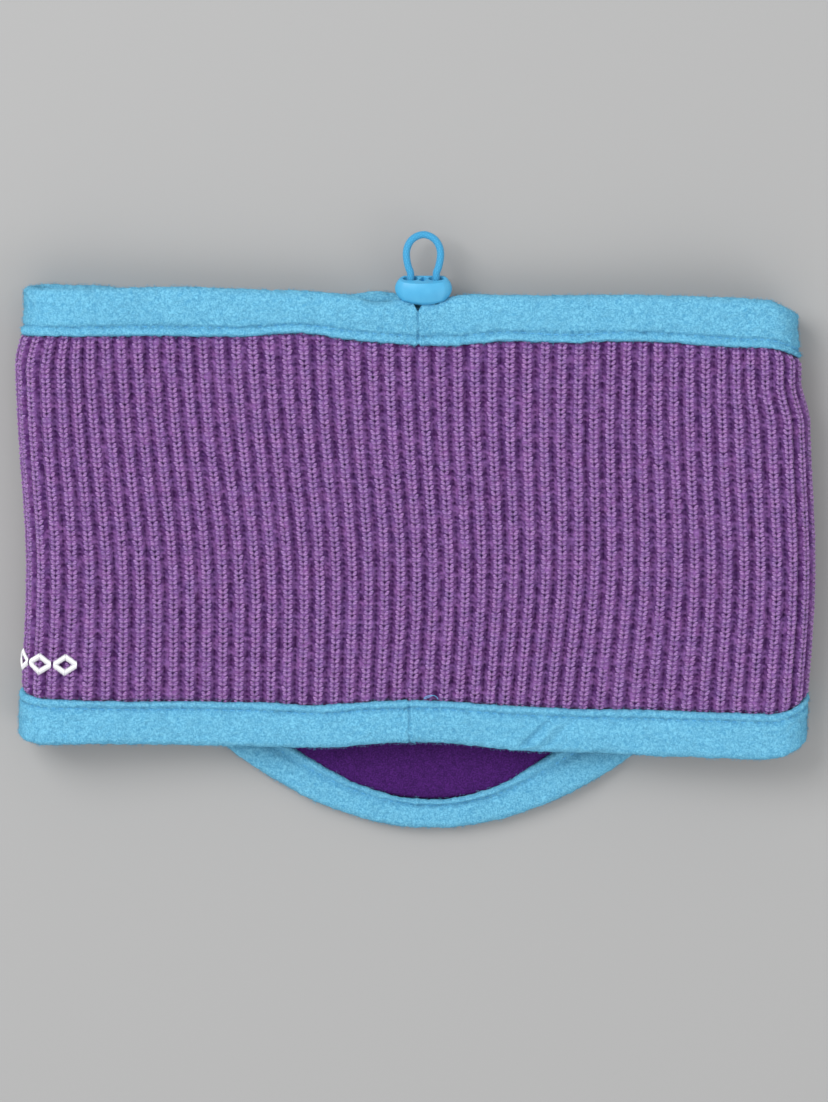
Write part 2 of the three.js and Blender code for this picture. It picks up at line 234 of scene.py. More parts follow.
# %% [markdown]
# ## The form
# A point of the cloth has three numbers: `u` round the girth from the middle of the back, `v`
# up the tube, and `out` from the knit face. The functions below turn them into a place. Soft
# cloth is never quite flat, so the back panel also swells and sinks a little.

# %% Form: round the girth
def across(u):
    """Signed distance round the girth from the middle of the back."""
    turn = np.mod(u, GIRTH)
    return np.where(turn < GIRTH / 2, turn, turn - GIRTH)


def girth(u):
    """Place (x, z) and outward normal of the knit face."""
    turn = np.mod(u, GIRTH)
    rise = PROUD + 2 * FOLD_RADIUS - BACK_HEIGHT
    flat_x = across(u)
    t = np.clip((np.abs(flat_x) - FLAT_REACH) / (FLAT - FLAT_REACH), 0, 1)
    slope = np.sign(flat_x) * rise * 6 * t * (1 - t) / (FLAT - FLAT_REACH)
    length = np.hypot(1, slope)
    back = (turn < FLAT) | (turn > GIRTH - FLAT)
    right = (turn >= FLAT) & (turn <= FLAT + FOLD)
    left = (turn >= 3 * FLAT + FOLD) & (turn <= GIRTH - FLAT)
    angle = np.where(right, (turn - FLAT) / FOLD_RADIUS, math.pi + (turn - 3 * FLAT - FOLD) / FOLD_RADIUS)
    side = np.where(right, FLAT, -FLAT)
    fold = right | left
    nx = np.where(back, -slope / length, np.where(fold, np.sin(angle), 0))
    nz = np.where(back, 1 / length, np.where(fold, np.cos(angle), -1))
    x = np.where(back, flat_x, np.where(fold, side + FOLD_RADIUS * nx, 2 * FLAT + FOLD - turn))
    z = np.where(back, BACK_HEIGHT + rise * smooth(np.abs(flat_x), FLAT_REACH, FLAT),
                 np.where(fold, PROUD + FOLD_RADIUS * (1 + nz), PROUD))
    return x, z, nx, nz


def on_back(u):
    """1 on the back panel, falling to 0 at the folds."""
    return 1 - smooth(np.abs(across(u)), FLAT - 18, FLAT)


def place(u, v, out):
    """Where a point of the cloth lies, in millimetres in the frame."""
    u, v, out = np.broadcast_arrays(u, v, out)
    x, z, nx, nz = girth(u)
    broad = 0.5 * np.sin(x / 19 + 0.7 * np.sin(v / 27)) * np.cos(v / 33 + 0.5)
    swell = broad + 0.3 * np.sin(x / 8.5 + v / 24)
    lean = 3.0 * bell(v, -18, 42)
    left_taper = 3.6 * smooth(v, 51, 70)
    right_taper = 2.9 * smooth(v, 36, 51) + 1.4 * smooth(v, 57, 70)
    taper = np.where(x < 0, left_taper, -right_taper) * smooth(np.abs(x), 100, 136)
    px = x + out * nx + taper
    py = v - SKEW * px
    pz = z + out * nz + on_back(u) * swell
    return np.stack([px + lean + SHIFT[0], py + SHIFT[1], pz], axis=-1)


# %% Form: the two edges
def collar_edge(u):
    turn = np.mod(u, GIRTH)
    front = (6.5 * smooth(turn, FLAT - 4, FLAT + 22)
             - 1.4 * smooth(turn, FLAT + 60, GIRTH / 2)
             - 3.2 * smooth(turn, GIRTH / 2 + 72, GIRTH / 2 + 116)
             - 1.9 * smooth(turn, GIRTH - FLAT - 30, GIRTH - FLAT)
             - 2.6 * bell(turn, GIRTH / 2 + 12, 12))
    return COLLAR_EDGE - 1.4 * bell(across(u), 0, 45) - front


def hem_edge(u):
    turn = np.mod(u, GIRTH)
    rise = (5.5 * smooth(turn, FLAT - 4, FLAT + 20)
            - 3.3 * smooth(turn, FLAT + 24, FLAT + 80)
            - 2.2 * smooth(turn, GIRTH - FLAT - FOLD, GIRTH - FLAT)
            + 1.2 * smooth(turn, GIRTH / 2 + 60, GIRTH - FLAT) * smooth(GIRTH - turn, 40, 115)
            + 2.9 * bell(across(u), 3, 24))
    far = np.abs(GIRTH / 2 - turn - BIB_CENTRE) / BIB_HALF
    dome = BIB_DEPTH * (1 - far ** 2)
    return HEM_EDGE + rise - (dome + np.hypot(dome, BIB_FILLET)) / 2


def lock_dip(u):
    """How far the collar's fold sinks under the lock and left of it."""
    return bells(across(u), (2.9, LOCK_X, 8.5), (2.7, -12, 7))


def no_dip(u):
    return 0 * u


def collar_wave(u):
    """How far the stitched side of the collar band wanders from an even width."""
    return bells(across(u), (2.1, -38, 15), (-0.7, 8, 16), (0.8, 32, 8), (0.9, 84, 20),
                 (-0.6, 55, 9), (-0.5, 112, 14))


def hem_wave(u):
    return bells(across(u), (-1.2, 4, 22), (-0.9, -33, 12), (-0.6, 62, 16), (-0.5, -98, 16))


def bib_turnback(u):
    """On the bib, the inner leg is a little narrow in the middle and wide on its right."""
    front_x = GIRTH / 2 - np.mod(u, GIRTH) - BIB_CENTRE
    return bells(front_x, (4.3, 56, 22), (1.7, -56, 20), (-1.4, 0, 28))


EDGES = {
    "collar": (collar_edge, -1, lock_dip, collar_wave),
    "hem": (hem_edge, 1, no_dip, hem_wave),
}


def from_edge(which, u, inset, out):
    """A point `inset` in from an edge, square to it on the panels."""
    edge, inward, dip, wave = EDGES[which]
    u, inset, out = np.broadcast_arrays(np.asarray(u, float), inset, out)
    if which == "hem":
        inset = inset + bib_turnback(u) * smooth(inset, 4, 12) * (out < CHANNEL_W - 1)
    x = girth(u)[0]
    panel = 1 - smooth(np.abs(x), FLAT - 14, FLAT - 2)
    slope = panel * (edge(u + 0.01) - edge(u - 0.01)) / 0.02
    length = np.hypot(1, slope)
    v = edge(u) + inward * (inset / length + dip(u) * (1 - smooth(inset, 2, 12)))
    v = v + wave(u) * smooth(inset, 4, 15)
    return u - inward * inset * slope / length, v, out


def edge_place(which, u, inset, out):
    return place(*from_edge(which, u, inset, out))


# %% [markdown]
# ## Finishes
# Every finish is made of nodes. What several finishes share is a node group with named inputs:
# the curly nap of brushed fleece, and the plies of spun yarn. The shader itself stays in each
# material, where its constants are set on its own sockets.

# %% Node helpers
def node(tree, kind, links=None, **settings):
    """Adds a node, sets its options, and puts outputs or numbers into its inputs."""
    made = tree.nodes.new("ShaderNode" + kind)
    for key, value in settings.items():
        setattr(made, key, value)
    for socket, source in (links or {}).items():
        if hasattr(source, "is_output"):
            tree.links.new(source, made.inputs[socket])
        else:
            made.inputs[socket].default_value = source
    return made


def calc(tree, operation, *values):
    return node(tree, "Math", dict(enumerate(values)), operation=operation).outputs[0]


def noise(tree, vector, scale, detail=2.0, **more):
    links = {"Vector": vector, "Scale": scale, "Detail": detail, **more}
    return node(tree, "TexNoise", links).outputs["Fac"]


def remap(tree, value, **limits):
    """Maps one range to another. The limits are From_Min, From_Max, To_Min and To_Max."""
    links = {key.replace("_", " "): limit for key, limit in limits.items()}
    return node(tree, "MapRange", {"Value": value, **links}).outputs["Result"]


def mix(tree, factor, low, high):
    links = {"Factor": factor, "A": low, "B": high}
    return node(tree, "Mix", links, data_type="RGBA").outputs["Result"]


def object_coordinates(tree):
    return node(tree, "TexCoord").outputs["Object"]


def colour(red, green, blue):
    """A colour given as it looks on screen, turned into the shader's linear numbers."""
    def linear(value):
        value /= 255
        return value / 12.92 if value <= 0.04045 else ((value + 0.055) / 1.055) ** 2.4
    return (linear(red), linear(green), linear(blue), 1)


def new_group(name, numbers, build):
    """A node group that turns a vector, numbers and two colours into a colour and a height."""
    group = bpy.data.node_groups.new(name, "ShaderNodeTree")
    sockets = [("Vector", "Vector", (0, 0, 0)), *((label, "Float", value) for label, value in numbers),
               ("Deep", "Color", (0, 0, 0, 1)), ("Tip", "Color", (1, 1, 1, 1))]
    for label, kind, value in sockets:
        socket = group.interface.new_socket(label, in_out="INPUT", socket_type="NodeSocket" + kind)
        socket.default_value = value
    for label, kind in (("Color", "Color"), ("Height", "Float")):
        group.interface.new_socket(label, in_out="OUTPUT", socket_type="NodeSocket" + kind)
    given = group.nodes.new("NodeGroupInput")
    result = group.nodes.new("NodeGroupOutput")
    shade, height = build(group, given.outputs)
    group.links.new(shade, result.inputs["Color"])
    group.links.new(height, result.inputs["Height"])
    print("group", group.name, [item.name for item in group.interface.items_tree])
    return group


# %% Node group: fleece nap
def nap_nodes(tree, given):
    """Clumps with thin creases between them, single fibres over them, and a broad drift. The colour
    follows the height: painted shade in the creases and hollows, painted highlight on the clump tops.
    """
    vector = given["Vector"]
    scale = calc(tree, "DIVIDE", 1.0, given["Clump Size"])
    fine, broad = (calc(tree, "MULTIPLY", scale, times) for times in (3.1, 0.11))
    curls = noise(tree, vector, scale, 2.0, Roughness=0.55, Distortion=0.9)
    fibres = noise(tree, vector, fine, 3.0, Roughness=0.7, Distortion=2.2)
    crease = calc(tree, "ABSOLUTE", calc(tree, "SUBTRACT", curls, 0.5))
    height = calc(tree, "MULTIPLY_ADD", fibres, 1.3, remap(tree, crease, From_Max=0.08))
    # Painted shade and highlight: the colour runs from Deep in the hollows to Tip on the clump tops.
    blend = mix(tree, remap(tree, height, From_Min=0.3, From_Max=1.85), given["Deep"], given["Tip"])
    drift = remap(tree, noise(tree, vector, broad), To_Min=0.93, To_Max=1.07)
    toned = node(tree, "HueSaturation", {"Value": drift, "Color": blend})
    return toned.outputs["Color"], height


nap_group = new_group("fleece_nap", [("Clump Size", 0.0012)], nap_nodes)


# %% Node group: twisted yarn
def twist_nodes(tree, given):
    """Slanting plies: the UV map's X runs along the yarn and its Y runs round it. The colour runs from
    Deep in the grooves between plies to Tip on their crests, as painted shade.
    """
    parts = node(tree, "SeparateXYZ", {0: given["Vector"]}).outputs
    along = calc(tree, "MULTIPLY", parts["X"], given["Along"])
    turns = calc(tree, "MULTIPLY_ADD", parts["Y"], given["Round"], along)
    wave = calc(tree, "SINE", calc(tree, "MULTIPLY", turns, 2 * math.pi))
    ply = remap(tree, wave, From_Min=-1.0, From_Max=0.7)
    # Painted shade: darker in the grooves between plies, lighter on their crests.
    return mix(tree, ply, given["Deep"], given["Tip"]), ply


twist_group = new_group("yarn_twist", [("Along", 1.0), ("Round", 2.0)], twist_nodes)


# %% Helpers for materials
def new_material(name, roughness, **constants):
    """A material with its own shader. The constants are set on the shader's sockets."""
    made = bpy.data.materials.new(name)
    made.use_nodes = True
    tree = made.node_tree
    shader = tree.nodes["Principled BSDF"]
    shader.inputs["Roughness"].default_value = roughness
    for key, value in constants.items():
        shader.inputs[key.replace("_", " ")].default_value = value
    return made, tree, shader


def dress(tree, shader, shade, height, strength, distance):
    """Puts a colour and a bump into a shader."""
    tree.links.new(shade, shader.inputs["Base Color"])
    bump = node(tree, "Bump", {"Height": height, "Strength": strength, "Distance": distance})
    tree.links.new(bump.outputs["Normal"], shader.inputs["Normal"])


def twisted(tree, along, around, deep, tip):
    """The outputs of the yarn twist, laid on a piece's UV map."""
    vector = node(tree, "UVMap", uv_map="cloth").outputs["UV"]
    links = {"Vector": vector, "Along": along, "Round": around, "Deep": deep, "Tip": tip}
    return node(tree, "Group", links, node_tree=twist_group).outputs


# %% [markdown]
# ## Brushed fleece
# The bands are polyester fleece. Its face is brushed until the fibres stand up and curl into
# little clumps. Colour and height come from the same noise: the hollows between the clumps are
# deeper and carry painted shade, the clump tops carry a painted highlight, and sheen lights the
# fibre tips at the edges.

# %% Fleece materials
def fleece_material(name, deep, tip, clump, sheen):
    made, tree, shader = new_material(name, 0.93, Sheen_Weight=sheen, Sheen_Roughness=0.5,
                                      Sheen_Tint=tip, Specular_IOR_Level=0.15)
    links = {"Vector": object_coordinates(tree), "Clump Size": clump, "Deep": deep, "Tip": tip}
    nap = node(tree, "Group", links, node_tree=nap_group).outputs
    dress(tree, shader, nap["Color"], nap["Height"], 0.6, 0.0004)
    return made


# Deep and tip of each fleece are a shaded and a lit copy of its colour, for the painted shade and
# highlight of the nap.
blue_fleece = fleece_material("blue_fleece", colour(44, 134, 186), colour(126, 202, 232), 0.00095, 0.2)
plum_fleece = fleece_material("plum_fleece", colour(32, 9, 58), colour(82, 34, 116), 0.0009, 0.15)
print("fleece", blue_fleece.name, plum_fleece.name)

# %% [markdown]
# ## Heathered rib yarn
# The knit is spun from fibres of slightly different purples. Each stitch leg carries its own
# small tint, written on the mesh as an attribute, and the yarn's twist runs along its UV map.
# The ground between the ribs reads its own depth as painted shade, so the valleys, the cloth under
# the stitch legs and the gaps between purl bumps go dark over the yarn's own purple.

# %% Knit materials
def heather(tree, base, size, low, high):
    """Speckles of lighter and darker fibre over a colour, whose hue drifts a little."""
    vector = object_coordinates(tree)
    fleck = noise(tree, vector, 1 / size, 3.0, Roughness=0.7)
    patch = noise(tree, vector, 240.0, 3.0, Roughness=0.6)
    value = remap(tree, fleck, From_Min=0.3, From_Max=0.7, To_Min=low, To_Max=high)
    hue = remap(tree, patch, From_Min=0.3, From_Max=0.7, To_Min=0.487, To_Max=0.513)
    toned = node(tree, "HueSaturation", {"Value": value, "Color": base, "Hue": hue})
    return toned.outputs["Color"], fleck


def yarn_material():
    made, tree, shader = new_material("rib_yarn", 0.86, Sheen_Weight=0.3, Sheen_Roughness=0.5,
                                      Specular_IOR_Level=0.2)
    tint = node(tree, "Attribute", attribute_name="tint").outputs["Fac"]
    # Deep and tip are a shaded and a lit copy of each stitch's tone, for the painted shade between the
    # plies. The tint is each stitch's own random tone.
    deep = mix(tree, tint, colour(110, 74, 133), colour(130, 92, 152))
    tip = mix(tree, tint, colour(142, 102, 162), colour(164, 124, 182))
    plies = twisted(tree, 2.0, 2.0, deep, tip)
    flecked, grain = heather(tree, plies["Color"], 0.0004, 0.86, 1.12)
    height = calc(tree, "MULTIPLY_ADD", grain, 0.8, plies["Height"])
    dress(tree, shader, flecked, height, 0.5, 0.00015)
    return made


def ground_material():
    made, tree, shader = new_material("rib_ground", 0.9, Sheen_Weight=0.15, Sheen_Roughness=0.5,
                                      Specular_IOR_Level=0.15)
    # The depth attribute is painted shade: dark purple where the cloth lies deep, lit purple on the ribs.
    depth = node(tree, "Attribute", attribute_name="depth").outputs["Fac"]
    shade = mix(tree, depth, colour(70, 30, 90), colour(126, 84, 146))
    flecked, grain = heather(tree, shade, 0.0007, 0.66, 1.34)
    dress(tree, shader, flecked, grain, 0.7, 0.0004)
    return made


rib_yarn = yarn_material()
rib_ground = ground_material()
print("knit", rib_yarn.name, rib_ground.name)

# %% [markdown]
# ## Threads, cord and tape
# Sewing thread, embroidery thread and the woven cover of the elastic are all twisted or braided.
# One node group draws them, with more or fewer turns, and paints shade into the grooves between
# plies. The braid crosses two of them.

# %% Thread, cord and tape materials
def thread_material(name, deep, tip, along, around, roughness, sheen, depth):
    made, tree, shader = new_material(name, roughness, Sheen_Weight=sheen)
    plies = twisted(tree, along, around, deep, tip)
    dress(tree, shader, plies["Color"], plies["Height"], 0.5, depth)
    return made


def braided_material(name, deep, tip, along, around):
    made, tree, shader = new_material(name, 0.62, Sheen_Weight=0.2, Specular_IOR_Level=0.35)
    one, other = (twisted(tree, along, turns, deep, tip) for turns in (around, -around))
    height = calc(tree, "MULTIPLY", one["Height"], other["Height"])
    # Painted shade: the braid's colour darkens in the hollows between its strands.
    dress(tree, shader, mix(tree, height, deep, tip), height, 0.35, 0.0001)
    return made


def tape_material():
    made, tree, shader = new_material("label_tape", 0.6, Sheen_Weight=0.2)
    # The grey is painted shade in the gaps of the weave; the tape itself is white.
    shaded_white = colour(205, 205, 205)
    white = colour(240, 240, 238)
    warp = twisted(tree, 2.4, 0.0, shaded_white, white)
    weft = twisted(tree, 0.0, 3.2, shaded_white, white)
    height = calc(tree, "MULTIPLY", warp["Height"], weft["Height"])
    dress(tree, shader, mix(tree, height, warp["Color"], weft["Color"]), height, 0.4, 0.00008)
    return made


# Each deep and tip pair is a shaded and a lit copy of one colour, for the painted shade between the plies
# or strands.
blue_thread = thread_material("blue_thread", colour(58, 150, 208), colour(104, 192, 236),
                              2.5, 2.0, 0.55, 0.1, 0.00005)
white_thread = thread_material("white_thread", colour(214, 214, 220), colour(246, 246, 248),
                               1.6, 1.0, 0.42, 0.15, 0.00004)
elastic_cord = braided_material("elastic_cord", colour(46, 138, 184), colour(60, 156, 200), 0.55, 8.0)
label_tape = tape_material()
print("threads and tape", blue_thread.name, white_thread.name, elastic_cord.name, label_tape.name)

# %% [markdown]
# ## Moulded plastic and spring wire
# The cord lock is injection moulded, with a fine satin grain from the mould. Handling polishes
# the places that stand out, so the roughness drifts a little. The spring is drawn steel wire.

# %% Plastic and steel
def plastic_material():
    made, tree, shader = new_material("lock_plastic", 0.42, Specular_IOR_Level=0.4)
    vector = object_coordinates(tree)
    drift = noise(tree, vector, 260.0)
    tree.links.new(remap(tree, drift, To_Min=0.36, To_Max=0.52), shader.inputs["Roughness"])
    shade = mix(tree, drift, colour(62, 152, 198), colour(82, 172, 214))
    dress(tree, shader, shade, noise(tree, vector, 6000.0), 0.12, 0.00004)
    return made


def steel_material():
    made, tree, shader = new_material("spring_steel", 0.3, Metallic=1.0)
    drawn = noise(tree, object_coordinates(tree), 3000.0)
    shade = mix(tree, drawn, colour(150, 152, 156), colour(205, 207, 210))
    tree.links.new(shade, shader.inputs["Base Color"])
    return made


lock_plastic = plastic_material()
spring_steel = steel_material()
print("lock", lock_plastic.name, spring_steel.name)


# %% Finish a piece
def finish_piece(made, body, material, stands_for=()):
    """Gives a piece its finish, the body that carries it and the nodes that it stands for."""
    made.data.materials.clear()
    made.data.materials.append(material)
    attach(made, body)
    if stands_for:
        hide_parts(*stands_for)
    triangles = len(made.data.loops) - 2 * len(made.data.polygons)
    print(f"{made.name}: {len(made.data.vertices)} points, {triangles} triangles")


# %% [markdown]
# ## The knit's ribs
# A rib is a column of stitches that stands up, and between two ribs a column of the backs of
# stitches sinks in. Seen close, a rib is a chain of V shapes. The two numbers below are the
# distance from rib to rib and from row to row. The ribs wander a little, as cloth does.

# %% Rib layout
RIBS = 101
ROW_PITCH = 1.72
RIB_PITCH = GIRTH / RIBS
RIB_START = -1.5
LINE_MARGIN = 60
LINE_POINTS = 9000


def rib_sway(u, v):
    """How far a rib is pulled sideways."""
    pull = bells(across(u), (2.6, -70, 60), (-2.2, 56, 30))
    return on_back(u) * pull * (-v / 62)


def line_along(which, inset):
    """The line a fixed distance in from an edge, as v for any u."""
    u = np.linspace(-LINE_MARGIN, GIRTH + LINE_MARGIN, LINE_POINTS)
    line_u, line_v, _ = from_edge(which, u, inset, 0)
    return lambda at: np.interp(np.mod(at, GIRTH), line_u, line_v)


knit_low = line_along("hem", OUTER_LEG)
knit_high = line_along("collar", OUTER_LEG)
print(f"{RIBS} ribs, {RIB_PITCH:.2f} mm apart")
print(f"back panel {float(knit_high(0) - knit_low(0)):.0f} mm high")

# %% Soft noise
def soft_noise(rows, columns, row_size, column_size):
    """Smooth bumps, from -1 to 1 or so, that join up on both sides of a grid."""
    grain = rng.standard_normal((rows, columns))
    fr = np.fft.fftfreq(rows)[:, None] * row_size
    fc = np.fft.rfftfreq(columns)[None, :] * column_size
    spread = np.exp(-2 * math.pi ** 2 * 0.14 * (fr ** 2 + fc ** 2))
    made = np.fft.irfft2(np.fft.rfft2(grain) * spread, s=(rows, columns))
    return made / made.std() * 0.5


# %% [markdown]
# ## The ground of the knit
# The ground is one cloth in two halves, each with eight points across a rib and three or more
# along a row. It is thick under the ribs and thin between them, where a small bump marks each
# stitch. It runs on under both bands, as the sewn edge does.

# %% Knit ground
COLUMNS_PER_RIB = 8
GROUND_ROWS = 232
TUCK = 2.2
RIDGE_OUT = -0.55
VALLEY_OUT = -2.05
SEWN_OUT = -2.3


def rib_phase(u):
    """0 on a rib's middle, 1 in the valley beside it."""
    turn = (u - RIB_START) / RIB_PITCH
    return np.abs(turn - np.round(turn)) * 2


def knit_ground(name, first_rib, last_rib):
    """The cloth from one valley to another."""
    steps = (last_rib - first_rib) * COLUMNS_PER_RIB + 1
    u = RIB_START + RIB_PITCH * (first_rib - 0.5 + np.arange(steps) / COLUMNS_PER_RIB)
    low, high = knit_low(u) - TUCK, knit_high(u) + TUCK
    t = np.linspace(0, 1, GROUND_ROWS)[:, None]
    v = low * (1 - t) + high * t
    u = np.broadcast_to(u, v.shape)
    phase = rib_phase(u)
    shoulder = bell(phase, 0.60, 0.17)
    bed = smooth(phase, 0.62, 0.95)
    wave = np.cos(2 * math.pi * (v / ROW_PITCH + 0.3 * np.sin(0.9 * u + 0.11 * v)))
    patch = soft_noise(*v.shape, 2.0, 1.6)
    purl = 0.34 * wave * bed + 0.34 * patch
    out = RIDGE_OUT + 0.30 * shoulder + (VALLEY_OUT - RIDGE_OUT) * bed + purl
    inside = np.minimum(v - low, high - v)
    out = SEWN_OUT + (out - SEWN_OUT) * smooth(inside, TUCK - 0.6, TUCK + 1.2)
    points = place(u + rib_sway(u, v), v, out).reshape(-1, 3)
    uv = np.stack([u, v], axis=-1).reshape(-1, 2) * MM
    made = mesh_object(name, points, grid_faces(*v.shape)[:, ::-1], uv)
    # Painted shade for the ground's colour: dark in the valleys, under the stitch legs and between purl
    # bumps, light on the shoulders.
    painted_relief_shade = 0.32 + 0.10 * shoulder + bed * (0.42 * wave - 0.06) + 0.5 * patch
    add_value(made, "depth", np.clip(painted_relief_shade, 0, 1).ravel())
    flat_area = float(np.sum((high - low)[:-1]) * RIB_PITCH / COLUMNS_PER_RIB) * MM * MM
    size = ((last_rib - first_rib) * RIB_PITCH * MM, float((high - low).max()) * MM)
    return made, size, flat_area


BACK_RIBS = (-25, 26)
FRONT_RIBS = (26, 76)
knit_back, back_size, back_area = knit_ground("knit_back", *BACK_RIBS)
knit_front, front_size, front_area = knit_ground("knit_front", *FRONT_RIBS)
finish_piece(knit_back, "gaiter", rib_ground, ["knit_shell"])
finish_piece(knit_front, "gaiter", rib_ground, ["knit_shell"])
normal = knit_back.data.polygons[len(knit_back.data.polygons) // 2].normal
print(f"middle of the back faces {normal.z:+.2f} up")

# %% [markdown]
# ## The stitches
# Each V is two legs of yarn. A short six-sided bar is modelled once. Thick in the middle, and
# bent so that its ends dive into the cloth, it becomes a leg. Copies of the leg, with every
# second one mirrored, are laid along each rib by code, because a grid of objects could not
# follow the folds.

# %% One bar
def quads_and_caps(faces):
    """The six-sided caps become two quads each, so that all faces have four corners."""
    made = []
    for face in faces:
        if len(face) == 4:
            made.append(face)
        else:
            made.append([face[0], face[1], face[2], face[3]])
            made.append([face[0], face[3], face[4], face[5]])
    return np.array(made)


def model_bar():
    """A straight six-sided bar along Z, from -1 to 1, with three rings of points between."""
    bar = primitive(bpy.ops.mesh.primitive_cylinder_add, vertices=6, radius=1, depth=2)
    bpy.ops.object.mode_set(mode="EDIT")
    bm = bmesh.from_edit_mesh(bar.data)
    for edge in bm.edges:
        edge.select = abs(edge.verts[0].co.z - edge.verts[1].co.z) > 1
    bmesh.update_edit_mesh(bar.data)
    bpy.ops.mesh.subdivide_edgering(number_cuts=3, interpolation="LINEAR")
    bpy.ops.object.mode_set(mode="OBJECT")
    points = np.array([vertex.co for vertex in bar.data.vertices])
    faces = quads_and_caps([list(face.vertices) for face in bar.data.polygons])
    bpy.data.objects.remove(bar)
    return points, faces


def bar_uv(along, one, other):
    """The bar's UV map: 0 to 1 along it and -0.5 to 0.5 round it."""
    return np.stack([along * 0.5 + 0.5, np.arctan2(other, one) / (2 * math.pi)], axis=1)


bar, BAR_FACES = model_bar()
print(f"bar: {len(bar)} points, {len(BAR_FACES)} faces")


# %% One stitch leg
def shape_leg(points):
    """Bends the bar into the leg's curve, low inner end to high outer end, in millimetres."""
    t = points[:, 2]
    side = 0.90 + 0.66 * t - 0.06 * t * t
    up = 0.86 * t
    lift = 0.22 - 0.48 * t * t - 0.16 * t
    radius = 0.61 - 0.20 * t * t
    return np.stack([side + 0.80 * radius * points[:, 0], up - 0.60 * radius * points[:, 0],
                     lift + radius * points[:, 1]], axis=1)


LEG = shape_leg(bar)
LEG_UV = bar_uv(bar[:, 2], bar[:, 0], bar[:, 1])
print(f"leg: {np.ptp(LEG, axis=0).round(2)} mm")

# %% Lay the stitches
LEG_OUT = -0.66
LEG_SINK = 1.3
ROW_OVERRUN = 1.2
YARN_GAP = 0.02
STITCH_PIECES = 6


def rib_stitches(name, ribs):
    """All the stitch legs of a run of ribs, as one piece."""
    sites = []
    for rib in ribs:
        centre = RIB_START + RIB_PITCH * rib
        first = math.ceil((float(knit_low(centre)) - ROW_OVERRUN) / ROW_PITCH)
        last = math.floor((float(knit_high(centre)) + ROW_OVERRUN) / ROW_PITCH)
        rows = np.arange(first, last + 1) * ROW_PITCH
        for mirror in (-1, 1):
            sites.append(np.stack(np.broadcast_arrays(centre, rows, float(mirror)), axis=1))
    sites = np.concatenate(sites)
    count = len(sites)
    size = rng.normal(1, 0.035, (count, 1))
    shift_u = rng.normal(0, 0.05, (count, 1))
    shift_v = rng.normal(0, 0.06, (count, 1))
    drop = rng.normal(0, 0.05, (count, 1))
    u = sites[:, :1] + sites[:, 2:] * LEG[None, :, 0] * size + shift_u
    v = sites[:, 1:2] + LEG[None, :, 1] * size + shift_v
    inside = np.minimum(v - knit_low(u), knit_high(u) - v)
    out = LEG_OUT + LEG[None, :, 2] + drop - LEG_SINK * (1 - smooth(inside, -0.6, 1.8))
    points = place(u + rib_sway(u, v), v, out)
    above_table(points, YARN_GAP)
    made = copies(name, points, BAR_FACES, LEG_UV, mirrored=sites[:, 2] < 0)
    add_value(made, "tint", np.repeat(rng.random(count), len(LEG)))
    return made


rib_runs = np.array_split(np.arange(BACK_RIBS[0], FRONT_RIBS[1]), STITCH_PIECES)
for number, ribs in enumerate(rib_runs):
    made = rib_stitches(f"rib_stitches_{number + 1}", ribs)
    finish_piece(made, "gaiter", rib_yarn)

print(f"knit back {back_size[0]:.3f} x {back_size[1]:.3f} m")
print(f"knit front {front_size[0]:.3f} x {front_size[1]:.3f} m")

# %% [markdown]
# ## The fleece bands
# A band is a strip of fleece, folded over the edge of the tube and sewn through. Its section is
# drawn once: out along the outer leg, round the fold, back along the inner leg, and home along
# the channel inside. The section is swept round the girth. The strip puffs up on both sides of
# the stitch line, and noise raises the nap.

# %% Band section
GROOVE_INSET = 13.2
INNER_GROOVE = 9.0
FOLD_BEND = BAND_THICK / 2
CHANNEL_HALF = FOLD_BEND - LEG_THICK


def outer_face(inset):
    """How far the outer leg stands out, from the fold line to its sewn edge."""
    puff = 0.75 * np.sin(math.pi * np.clip(inset / GROOVE_INSET, 0, 1)) ** 0.8
    lip = 0.30 * bell(inset, 15.0, 1.0)
    groove = 1.15 * bell(inset, GROOVE_INSET, 0.8)
    roll = 1.35 * smooth(inset, 15.2, 16.5) ** 1.5
    return PROUD + puff + lip - groove - roll


def inner_face(inset):
    puff = 0.45 * np.sin(math.pi * np.clip(inset / INNER_GROOVE, 0, 1)) ** 0.8
    groove = 1.45 * bell(inset, INNER_GROOVE, 0.85)
    roll = 0.95 * smooth(inset, 10.8, 12.1) ** 1.5
    return PROUD - BAND_THICK - puff + groove + roll - 0.45 * bell(inset, 10.6, 0.9)


def band_section():
    """Points (inset, out) round the closed section, and how much nap each one has."""
    legs = np.linspace(OUTER_LEG, FOLD_BEND, 27)
    turn = np.linspace(0, math.pi, 17)[1:-1]
    inner = np.linspace(FOLD_BEND, INNER_LEG, 18)
    back = np.linspace(INNER_LEG - 0.6, FOLD_BEND, 7)
    hollow = np.linspace(0, math.pi, 6)[1:-1]
    home = np.linspace(FOLD_BEND, OUTER_LEG - 0.6, 9)
    ends = [outer_face(FOLD_BEND) - PROUD, PROUD - BAND_THICK - inner_face(FOLD_BEND)]
    swell = np.interp(turn, [0, math.pi], ends)
    round_in = FOLD_BEND - (FOLD_BEND + swell * 0.4) * np.sin(turn)
    round_out = CHANNEL_W + (FOLD_BEND + swell) * np.cos(turn)
    rows = [
        (legs, outer_face(legs), 1),
        (round_in, round_out, 1),
        (inner, inner_face(inner), 1),
        (back, inner_face(back) + LEG_THICK, 0),
        (FOLD_BEND - CHANNEL_HALF * np.sin(hollow), CHANNEL_W - CHANNEL_HALF * np.cos(hollow), 0),
        (home, outer_face(home) - LEG_THICK, 0),
    ]
    inset = np.concatenate([r[0] for r in rows])
    out = np.concatenate([r[1] for r in rows])
    nap = np.concatenate([np.full(len(r[0]), float(r[2])) for r in rows])
    return inset, out, nap


section_inset, section_out, section_nap = band_section()
print(f"band section: {len(section_inset)} points")

# %% Sweep the bands
STATIONS = 950
SEAM_GATHER = 1.2
DASH_PITCH = 2.8
FLEECE_GAP = 0.03
SEAMS = {"collar": 2.0, "hem": -1.2}


